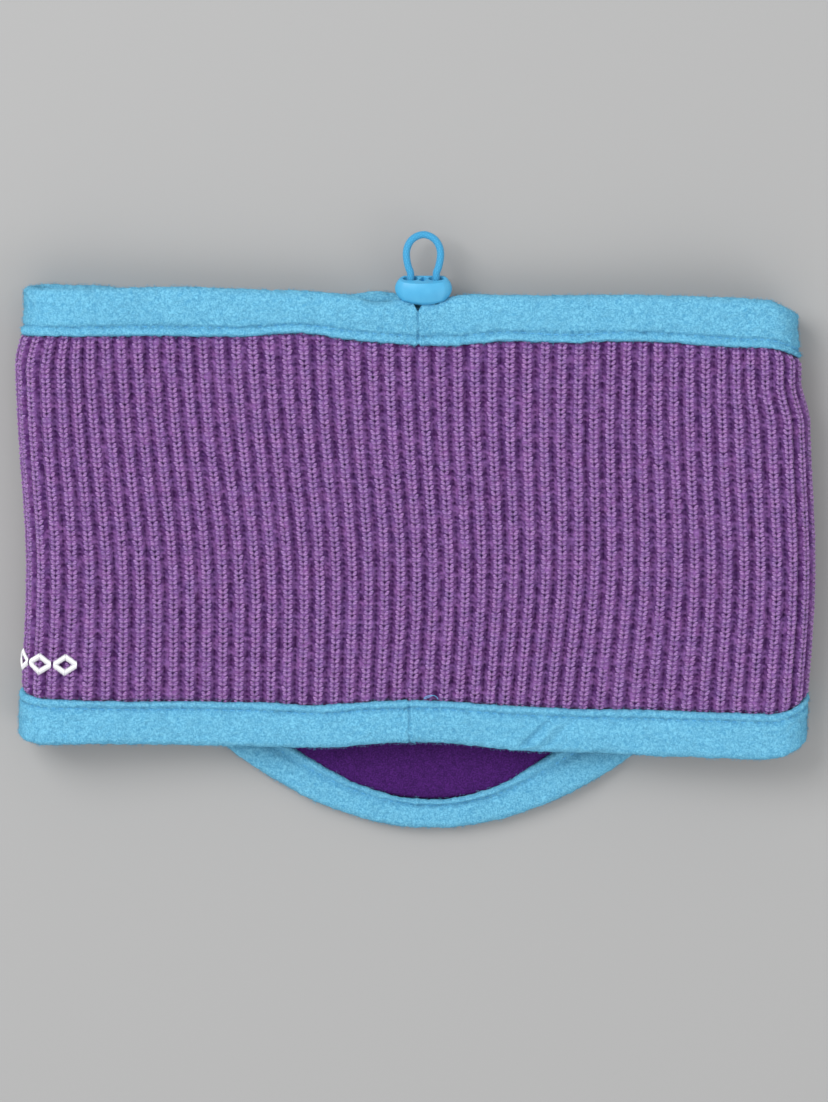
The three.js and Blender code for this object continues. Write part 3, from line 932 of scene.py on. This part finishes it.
def fleece_band(name, which):
    even = np.linspace(0, GIRTH, STATIONS, endpoint=False)
    turn = even * 2 * math.pi / GIRTH
    u = (even - SEAM_GATHER * np.sin(turn) / (1.02 - np.cos(turn)) + SEAMS[which])[:, None]
    count = len(section_inset)
    curls = soft_noise(STATIONS, count, 2.2, 2.2)
    lumps = soft_noise(STATIONS, count, 16, 26)
    waves = soft_noise(STATIONS, count, 60, 60)
    seam = 0.75 * bell(across(u - SEAMS[which]), 0, 0.5)
    beside = bell(across(u - SEAMS[which]), 0, 3.2)
    pits = np.cos(2 * math.pi * u * round(GIRTH / DASH_PITCH) / GIRTH)
    sewn = bell(section_inset, GROOVE_INSET, 1.0) * 0.14 * pits
    lift = section_nap * (sewn + 0.21 * curls + 0.22 * lumps + 0.25 * waves - 0.85 * seam + 0.25 * beside)
    middle_in, middle_out = section_inset.mean(), CHANNEL_W
    away_in = np.gradient(section_out)
    away_out = -np.gradient(section_inset)
    length = np.hypot(away_in, away_out)
    sign = np.sign(np.sum(away_in * (section_inset - middle_in) + away_out * (section_out - middle_out)))
    inset = section_inset + sign * lift * away_in / length
    out = section_out + sign * lift * away_out / length
    if which == "hem":
        crease = across(u) - 36 - 0.9 * section_inset
        crossing = smooth(section_inset, 1, 3) * (1 - smooth(section_inset, 11, 14))
        crossing = crossing * (section_out > CHANNEL_W)
        out = out + section_nap * crossing * bells(crease, (0.9, 3.4, 2.0), (-1.3, 0, 1.5), (-0.7, 8, 1.6))
    slim = (1 - on_back(u)) * np.clip(section_out - PROUD, 0, None) * 1.1
    points = edge_place(which, u, inset, out - slim).reshape(-1, 3)
    above_table(points, FLEECE_GAP)
    faces = facing_out(points, grid_faces(STATIONS, count, True, True))
    return mesh_object(name, points, faces)


collar_band = fleece_band("collar_band_fleece", "collar")
hem_band = fleece_band("hem_band_fleece", "hem")
finish_piece(hem_band, "gaiter", blue_fleece, ["hem_band"])

# %% [markdown]
# ## The cord's way out of the collar
# At the middle of the back the seam of the collar is left open over a few stitches, so the cord
# can come out of the channel. The opening is cut with two cutters: a slot through the fold, and
# a wedge in the outer leg where the seam gapes under the lock.

# %% Tools for cutting
def lock_point(x, y, z):
    """A place given from the middle of the cord lock in millimetres, as metres in the frame."""
    return Vector((LOCK_X + SHIFT[0] + x, LOCK_Y + SHIFT[1] + y, LOCK_Z + z)) * MM


def combine(made, other, operation="DIFFERENCE"):
    """Takes another shape out of a piece, or joins it on, and removes the other shape."""
    modifier = made.modifiers.new("combine", "BOOLEAN")
    modifier.operation = operation
    modifier.solver = "MANIFOLD"
    modifier.object = other
    apply_modifiers(made)
    bpy.data.objects.remove(other)


def rounded_block(size, middle, bevel_width, tilt=0.0):
    """A box with round edges, turned about Y, given from the lock's middle in millimetres."""
    block = primitive(bpy.ops.mesh.primitive_cube_add, size=1, location=lock_point(*middle),
                      rotation=(0, tilt, 0), scale=[s * MM for s in size])
    bevel = block.modifiers.new("round", "BEVEL")
    bevel.width = bevel_width * MM
    bevel.segments = 4
    apply_modifiers(block)
    return block


def wedge(radius, deep, middle):
    """A three-sided prism along Z with a corner towards the hem."""
    return primitive(bpy.ops.mesh.primitive_cylinder_add, vertices=3, radius=radius * MM,
                     depth=deep * MM, location=lock_point(*middle), rotation=(0, 0, math.pi))


# %% Cut the opening
combine(collar_band, rounded_block((13.2, 12.0, 2.9), (-0.4, -3.5, 0), 1.1))
combine(collar_band, wedge(4.6, 8.0, (-1.9, -2.4, 3.6)))
shade_smooth(collar_band)
finish_piece(collar_band, "gaiter", blue_fleece, ["collar_band"])

# %% [markdown]
# ## Loose fibres on the bands
# Brushed fleece has a soft outline, because single fibres stand out of the nap. Each fibre here
# is a thin bent spike with three sides. Most stand near the fold, where the outline shows them.

# %% Fibres
FIBRES = 7000
FIBRE_FACES = np.array([(0, 1, 4), (0, 4, 3), (1, 2, 5), (1, 5, 4), (2, 0, 3), (2, 3, 5),
                        (3, 4, 6), (4, 5, 6), (5, 3, 6), (2, 1, 0)])


def band_fibres(name, band):
    """Fibres rooted at random points of a band's outer faces."""
    count = len(band.data.vertices)
    points = np.zeros(count * 3, dtype=np.float32)
    normals = np.zeros(count * 3, dtype=np.float32)
    band.data.vertices.foreach_get("co", points)
    band.data.vertex_normals.foreach_get("vector", normals)
    points = points.reshape(-1, 3) / MM
    normals = normals.reshape(-1, 3)
    open_side = normals[:, 2] > -0.5
    edge = 1 - np.abs(normals[:, 2])
    weight = open_side * (0.12 + edge)
    roots = rng.choice(count, FIBRES, p=weight / weight.sum())
    root, up = points[roots], normals[roots]
    side = np.cross(up, rng.normal(0, 1, (FIBRES, 3)))
    side /= np.linalg.norm(side, axis=1)[:, None]
    other = np.cross(up, side)
    long = rng.uniform(0.6, 1.5, (FIBRES, 1))
    middle = root + long * (0.45 * up + 0.25 * side)
    tip = root + long * (0.62 * up + 0.80 * side)
    ring = [(math.cos(a), math.sin(a)) for a in (0, 2.1, 4.2)]
    base = [root - 0.15 * up + 0.075 * (c * side + d * other) for c, d in ring]
    bend = [middle + 0.05 * (c * up + d * other) for c, d in ring]
    spikes = np.stack(base + bend + [tip], axis=1)
    above_table(spikes, YARN_GAP)
    return copies(name, spikes, FIBRE_FACES)


for band, name in ((collar_band, "collar_band_fibres"), (hem_band, "hem_band_fibres")):
    fibres = band_fibres(name, band)
    finish_piece(fibres, "gaiter", blue_fleece)

# %% [markdown]
# ## The rows of stitching
# Each band is sewn on with a needle thread outside and a bobbin thread inside. Both sink into the
# nap, so they show as short dashes at the bottom of a groove. One dash is the same bar turned
# along X, with narrow ends, and its copies follow the groove.

# %% Stitch dashes
DASH_HALF = 1.05
THREAD_RADIUS = 0.2
THREAD_PROUD = 0.12

DASH = bar[:, [2, 1, 0]] * (1, 1, -1)
DASH_UV = bar_uv(DASH[:, 0], DASH[:, 1], DASH[:, 2])
DASH[:, 1:] *= 1 - 0.5 * DASH[:, :1] ** 2


def stitch_row(name, which, inset, out, node_name):
    count = round(GIRTH / DASH_PITCH)
    middle = (np.arange(count)[:, None] + 0.5) * GIRTH / count
    arch = 0.35 * DASH[None, :, 0] ** 2
    side = 1 if out > CHANNEL_W else -1
    u = middle + DASH_HALF * DASH[None, :, 0]
    stand = out - side * arch + THREAD_RADIUS * DASH[None, :, 2]
    points = edge_place(which, u, inset + THREAD_RADIUS * DASH[None, :, 1], stand)
    above_table(points, FLEECE_GAP)
    made = copies(name, points, BAR_FACES, DASH_UV)
    finish_piece(made, "gaiter", blue_thread, [node_name])


needle_out = float(outer_face(GROOVE_INSET)) + THREAD_PROUD
bobbin_out = float(inner_face(INNER_GROOVE)) - THREAD_PROUD
for band in ("collar", "hem"):
    stitch_row(f"{band}_needle_stitches", band, GROOVE_INSET, needle_out, f"{band}_needle_thread")
    stitch_row(f"{band}_bobbin_stitches", band, INNER_GROOVE, bobbin_out, f"{band}_bobbin_thread")

# %% [markdown]
# ## The lining
# A second tube of plum fleece lines the knit. It shows inside the bib and down both openings. It
# is a closed sheet: an outer and an inner face, joined at both rims, with nap on the inner one.

# %% Lining
LINING_OUT = -3.05
LINING_IN = -4.6
LINING_COLUMNS = 480
LINING_ROWS = 96
LINING_HEM_INSET = 9.8
LINING_COLLAR_INSET = 10.9


def lining_tube():
    u = np.linspace(0, GIRTH, LINING_COLUMNS, endpoint=False)[:, None]
    low = line_along("hem", LINING_HEM_INSET)(u)
    high = line_along("collar", LINING_COLLAR_INSET)(u)
    rise = np.linspace(0, 1, LINING_ROWS)
    back_down = rise[::-8]
    t = np.concatenate([rise, back_down])[None, :]
    inner = np.concatenate([np.ones(len(rise)), np.zeros(len(back_down))])[None, :]
    v = low * (1 - t) + high * t
    curls = soft_noise(LINING_COLUMNS, LINING_ROWS, 2.0, 2.0)
    lumps = soft_noise(LINING_COLUMNS, LINING_ROWS, 20, 20)
    nap = np.concatenate([curls * 0.2 + lumps * 0.3, np.zeros((LINING_COLUMNS, len(back_down)))], axis=1)
    tucked = smooth(np.minimum(v - low, high - v), 1.5, 3.5)
    out = np.where(inner > 0, LINING_IN + 0.8 * (1 - tucked) - nap * tucked, LINING_OUT)
    points = place(u, v, out).reshape(-1, 3)
    faces = facing_out(points, grid_faces(LINING_COLUMNS, v.shape[1], True, True))
    area = float(np.mean(high - low)) * GIRTH * MM * MM
    return mesh_object("fleece_lining_tube", points, faces), float((high - low).max()) * MM, area


lining, lining_height, lining_area = lining_tube()
finish_piece(lining, "gaiter", plum_fleece, ["fleece_lining"])
print(f"lining {GIRTH * MM:.3f} x {lining_height:.3f} m")

# %% [markdown]
# ## The elastic cord
# The cord is round elastic in a braided cover. One length runs in the collar's channel, and its
# two ends come out at the back and meet in a loop above the lock. The loop stays nearly level
# because elastic this thick and short is springy, and it droops a little at its far end. Each
# cord is a ring of points swept along a smooth line.

# %% Sweep a cord
def smooth_line(points, per_span):
    """A Catmull-Rom line through given points."""
    p = np.array(points, float)
    p = np.vstack([2 * p[0] - p[1], p, 2 * p[-1] - p[-2]])
    t = np.linspace(0, 1, per_span, endpoint=False)[:, None]
    spans = []
    for a, b, c, d in zip(p[:-3], p[1:-2], p[2:-1], p[3:]):
        spans.append(0.5 * (2 * b + (c - a) * t + (2 * a - 5 * b + 4 * c - d) * t ** 2
                            + (3 * b - a - 3 * c + d) * t ** 3))
    return np.vstack(spans + [p[-2:-1]])


def swept_tube(name, line, radius, sides):
    """A tube along a line, with ends that all but close, and its braid's UV in millimetres."""
    ahead = np.gradient(line, axis=0)
    ahead /= np.linalg.norm(ahead, axis=1)[:, None]
    left = np.cross((0.0, 0.0, 1.0), ahead)
    left /= np.linalg.norm(left, axis=1)[:, None]
    top = np.cross(ahead, left)
    steps = np.linalg.norm(np.diff(line, axis=0), axis=1)
    along = np.concatenate([[0, 0], np.cumsum(steps)])
    along = np.append(along, along[-1])
    line, left, top = (np.vstack([a[:1], a, a[-1:]]) for a in (line, left, top))
    size = np.full(len(line), float(radius))
    size[[0, -1]] = radius * 0.02
    angle = 2 * math.pi * np.arange(sides) / sides
    ring = np.cos(angle)[None, :, None] * left[:, None] + np.sin(angle)[None, :, None] * top[:, None]
    points = (line[:, None] + ring * size[:, None, None]).reshape(-1, 3)
    faces = facing_out(points, grid_faces(len(line), sides, False, True))
    turn = faces % sides / sides
    wraps = np.ptp(turn, axis=1)[:, None] > 0.5
    turn = np.where(wraps & (turn < 0.5), turn + 1, turn)
    uv = np.stack([along[faces // sides], turn], axis=-1)
    return mesh_object(name, points, faces, uv), float(along[-1])


# %% The loop
HALF_LOOP = [
    (4.35, -11.6, 0), (4.35, -8.5, 0), (4.35, -4.5, 0), (4.35, 0, 0), (4.35, 4.8, 0),
    (4.5, 6.5, -0.03), (5.0, 7.8, -0.15), (5.45, 9.6, -0.35), (5.75, 11.5, -0.65),
    (5.83, 13.1, -0.98), (5.65, 14.7, -1.4), (5.15, 16.2, -1.85), (4.35, 17.55, -2.3),
    (3.25, 18.6, -2.7), (1.75, 19.4, -3.05), (0, 19.75, -3.2),
]
LOOP_REACH = 0.93
HALF_LOOP = [(x, y if y < 5 else 5 + (y - 5) * LOOP_REACH, z) for x, y, z in HALF_LOOP]
left_half = [(-x, y, z) for x, y, z in HALF_LOOP]
loop_line = smooth_line(left_half + HALF_LOOP[-2::-1], 9)
lock_middle = np.array([LOCK_X + SHIFT[0], LOCK_Y + SHIFT[1], LOCK_Z])
cord_loop, loop_length = swept_tube("cord_loop_elastic", loop_line + lock_middle, CORD_DIAMETER / 2, 16)
finish_piece(cord_loop, "cord_loop", elastic_cord, ["drawcord_loop"])
print(f"loop {loop_length:.1f} mm long")


# %% The cord in the channel
CHANNEL_START = 6.0
CHANNEL_POINTS = 420
CORD_INSET = 7.6
CORD_RUN_IN = 26


def channel_line():
    """Once round the collar, from beside the lock to beside the lock."""
    start = LOCK_X + CHANNEL_START
    u = np.linspace(start, GIRTH + LOCK_X - CHANNEL_START, CHANNEL_POINTS)
    from_end = np.minimum(u - start, u[-1] - u)
    inset = CORD_INSET + (FOLD_BEND - CORD_INSET) * smooth(from_end, 0, CORD_RUN_IN)
    return edge_place("collar", u, inset, CHANNEL_W)


drawcord, drawcord_length = swept_tube("drawcord_elastic", channel_line(), CORD_DIAMETER / 2, 10)
finish_piece(drawcord, "gaiter", elastic_cord, ["drawcord"])
print(f"cord in the channel {drawcord_length:.0f} mm long")

# %% [markdown]
# ## The cord lock
# The housing is a pebble of moulded plastic, open at the back for its button. A ball is squared
# up with a Cast modifier and cut flat, and rounded cutters take out the pocket, the two cord
# holes and the mould's window between them. A fine remesh, then smoothing, rounds every edge as
# a mould does.

# %% Shapes for the lock


def oval_bore(x, half_wide, half_deep, y_from, y_to, z=0.0):
    """An oval hole along Y."""
    middle = lock_point(x, (y_from + y_to) / 2, z)
    return primitive(bpy.ops.mesh.primitive_cylinder_add, vertices=40, radius=1, depth=1,
                     location=middle, rotation=(math.pi / 2, 0, 0),
                     scale=(half_wide * MM, half_deep * MM, (y_to - y_from) * MM))


def pebble(name, half, squareness, middle_y):
    """A squared-up ball, in millimetres from the lock's middle."""
    made = primitive(bpy.ops.mesh.primitive_uv_sphere_add, segments=72, ring_count=36, radius=1)
    made.name = name
    made.data.name = name
    cast = made.modifiers.new("square", "CAST")
    cast.cast_type = "CUBOID"
    cast.factor = squareness
    apply_modifiers(made)
    bpy.ops.object.mode_set(mode="EDIT")
    bpy.ops.mesh.select_all(action="SELECT")
    bpy.ops.transform.resize(value=[h * MM for h in half])
    bpy.ops.transform.translate(value=lock_point(0, middle_y, 0))
    bpy.ops.object.mode_set(mode="OBJECT")
    co = np.array([vertex.co for vertex in made.data.vertices])
    print(f"{name} pebble {(np.ptp(co, axis=0) / MM).round(2)} mm")
    return made


def cut_flat(made, point, facing):
    """Takes away what lies on the side of a plane that it faces, and closes the cut."""
    select_only(made)
    bpy.ops.object.mode_set(mode="EDIT")
    bpy.ops.mesh.select_all(action="SELECT")
    bpy.ops.mesh.bisect(plane_co=lock_point(*point), plane_no=facing, use_fill=True, clear_outer=True)
    bpy.ops.object.mode_set(mode="OBJECT")


def moulded(made, voxel, rounds):
    """Rounds every edge a little: a fine remesh, then smoothing."""
    remesh = made.modifiers.new("fine", "REMESH")
    remesh.mode = "VOXEL"
    remesh.voxel_size = voxel * MM
    soften = made.modifiers.new("soften", "SMOOTH")
    soften.factor = 0.5
    soften.iterations = rounds
    apply_modifiers(made)
    shade_smooth(made)


# %% Housing
SHELL_VOXEL = 0.15
LOCK_HALF = (9.75, 5.8, 4.8)
LOCK_FRONT = -5.1
LOCK_BACK = -2.2
LOCK_FACE = 3.95
LEG_X = 4.35

housing = pebble("cord_lock_shell", LOCK_HALF, 0.12, LOCK_HALF[1] + LOCK_FRONT)
cut_flat(housing, (0, 0, LOCK_BACK), (0, 0, -1))
cut_flat(housing, (0, LOCK_FACE, 1), (0, 1, 0.26))
combine(housing, rounded_block((13.0, 4.3, 9.4), (0, 0, -1.5), 2.0))
for leg_x in (-LEG_X, LEG_X):
    combine(housing, oval_bore(leg_x, 2.6, 1.65, -6, 6))
combine(housing, rounded_block((1.9, 5.0, 3.4), (0, 5.0, 0.3), 0.3, math.radians(-30)))
moulded(housing, SHELL_VOXEL, 5)
finish_piece(housing, "cord_lock", lock_plastic, ["cord_lock_housing"])

# %% Button
BUTTON_VOXEL = 0.16
BUTTON_HALF = (8.6, 4.3, 4.6)
BUTTON_TOP = -3.5

button = pebble("cord_lock_push_button", BUTTON_HALF, 0.2, 0)
cut_flat(button, (0, 0, BUTTON_TOP), (0, 0, 1))
combine(button, rounded_block((12.4, 3.9, 6.1), (0, 0, -1.1), 1.7), "UNION")
for leg_x in (-LEG_X, LEG_X):
    combine(button, oval_bore(leg_x, 1.55, 1.95, -6, 6, -0.65))
combine(button, rounded_block((2.9, 2.9, 5.0), (0, 0, 1.2), 0.9))
moulded(button, BUTTON_VOXEL, 4)
finish_piece(button, "lock_button", lock_plastic, ["cord_lock_button"])

# %% Spring
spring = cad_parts["cord_lock_spring"]
spring.data.materials.clear()
spring.data.materials.append(spring_steel)
print("spring keeps its own shape", spring.name)

# %% [markdown]
# ## The stitched motif
# A chain of diamonds is embroidered where the tube folds on its left side. Satin stitch lays
# threads side by side across each stroke, so every thread is a small arch from one side of the
# stroke to the other. One arch is the dash from before, bent.

# %% Embroidered motif
MOTIF_FROM = GIRTH - FLAT - FOLD + 6.5
MOTIF_TO = GIRTH - FLAT + 9
MOTIF_LOW = -55.5
MOTIF_HIGH = -47.5
DIAMONDS = 4
DIAMOND_GAP = 0.4
STROKE = 1.2
THREAD_STEP = 0.34
SILK_RADIUS = 0.17
SILK_OUT = 0.22
SILK_ARCH = 0.42


def motif_threads():
    wide = (MOTIF_TO - MOTIF_FROM) / DIAMONDS
    half_high = (MOTIF_HIGH - MOTIF_LOW) / 2 - STROKE
    middle_v = (MOTIF_LOW + MOTIF_HIGH) / 2
    places = []
    for n in range(DIAMONDS):
        left = MOTIF_FROM + n * wide
        middle = left + wide / 2
        corners = [(left + DIAMOND_GAP, 0), (middle, half_high),
                   (left + wide - DIAMOND_GAP, 0), (middle, -half_high)]
        for (u0, v0), (u1, v1) in zip(corners, corners[1:] + corners[:1]):
            length = math.hypot(u1 - u0, v1 - v0)
            for t in (np.arange(int(length / THREAD_STEP)) + 0.5) * THREAD_STEP / length:
                places.append((u0 + (u1 - u0) * t, middle_v + v0 + (v1 - v0) * t))
    places = np.array(places)[:, None, :]
    along = DASH[None, :, 0] * STROKE * (1 + rng.normal(0, 0.04, (len(places), 1)))
    u = places[..., 0] + SILK_RADIUS * DASH[None, :, 1]
    v = places[..., 1] + along
    out = SILK_OUT + SILK_ARCH * (1 - DASH[None, :, 0] ** 2) + SILK_RADIUS * DASH[None, :, 2]
    return copies("diamond_motif", place(u, v, out), BAR_FACES, DASH_UV)


motif = motif_threads()
finish_piece(motif, "gaiter", white_thread, ["embroidered_motif"])


# %% [markdown]
# ## The care label and a loose thread
# A blank woven tape is sewn to the lining near the left fold. A curl of sewing thread, left over
# where the hem seam was closed, lies on the knit.

# %% Label
LABEL_COLUMNS = 14
LABEL_ROWS = 26
LABEL_FACES_OUT = (-5.2, -5.45)


def label_sheet():
    """Two sheets of points back to back, closed by a rim that runs round both."""
    left = GIRTH - FLAT - FOLD - 15
    u = np.linspace(left, left + 13, LABEL_COLUMNS)[None, :]
    t = np.linspace(0, 1, LABEL_ROWS)[:, None]
    v = -34 - 26 * t
    curl = 1.2 * t ** 3 + 0.3 * np.sin(3 * t) * np.sin((u - left) / 4)
    points = np.vstack([place(u, v, out - curl).reshape(-1, 3) for out in LABEL_FACES_OUT])
    sheet = grid_faces(LABEL_ROWS, LABEL_COLUMNS)
    numbers = np.arange(LABEL_ROWS * LABEL_COLUMNS).reshape(LABEL_ROWS, LABEL_COLUMNS)
    rim = np.concatenate([numbers[0], numbers[1:, -1], numbers[-1, -2::-1], numbers[-2:0:-1, 0]])
    after = np.roll(rim, -1)
    edge = np.stack([rim, after, after + numbers.size, rim + numbers.size], axis=1)
    faces = np.vstack([sheet[:, ::-1], sheet + numbers.size, edge])
    flat_uv = np.stack(np.broadcast_arrays(u - left, v - v[0, 0]), axis=-1).reshape(-1, 2)
    return mesh_object("care_label_tape", points, facing_out(points, faces), np.vstack([flat_uv, flat_uv]))


label = label_sheet()
finish_piece(label, "gaiter", label_tape, ["care_label"])


# %% Loose thread
def loose_thread():
    t = np.linspace(0, 1, 40)
    u = 6.0 + 2.0 * np.cos(5.5 * t) - 1.4 * t
    v = float(knit_low(6)) + 0.6 + 3.2 * t * (1.25 - t) + 0.8 * np.sin(7 * t)
    return place(u, v, 0.35 + 0.9 * np.sin(math.pi * t))


thread_tail, tail_length = swept_tube("loose_thread_tail", loose_thread(), 0.1, 6)
finish_piece(thread_tail, "gaiter", blue_thread)
print(f"loose thread {tail_length:.1f} mm long")

# %% [markdown]
# ## Table and light
# The table is a plain pale sheet that fills the view. A large soft lamp from the upper left
# gives the knit its relief, and an even sky keeps the shadows open.

# %% Table and light
bpy.context.scene.view_settings.view_transform = "Standard"

TABLE_SIZE = 6
TABLE_DROP = 0.0001
table = primitive(bpy.ops.mesh.primitive_grid_add, x_subdivisions=2, y_subdivisions=2,
                  size=TABLE_SIZE, location=(0, 0, -TABLE_DROP))
table.name = "table"
table_top, tree, shader = new_material("table_top", 0.9, Specular_IOR_Level=0.1)
shader.inputs["Base Color"].default_value = colour(162, 162, 162)
table.data.materials.append(table_top)

world = bpy.data.worlds.new("studio")
world.use_nodes = True
world.node_tree.nodes["Background"].inputs["Color"].default_value = (1, 1, 1, 1)
world.node_tree.nodes["Background"].inputs["Strength"].default_value = 0.86
bpy.context.scene.world = world


def soft_lamp(name, power, size, location):
    """A square lamp that looks at the gaiter."""
    light = bpy.data.lights.new(name, "AREA")
    light.energy = power
    light.size = size
    lamp = bpy.data.objects.new(name, light)
    lamp.location = location
    lamp.rotation_euler = (-Vector(location)).to_track_quat("-Z", "Y").to_euler()
    bpy.context.collection.objects.link(lamp)


soft_lamp("key", 30, 1.1, (-1.0, 1.1, 1.5))
soft_lamp("fill", 8, 1.4, (1.5, -0.9, 1.5))
print("light ready")
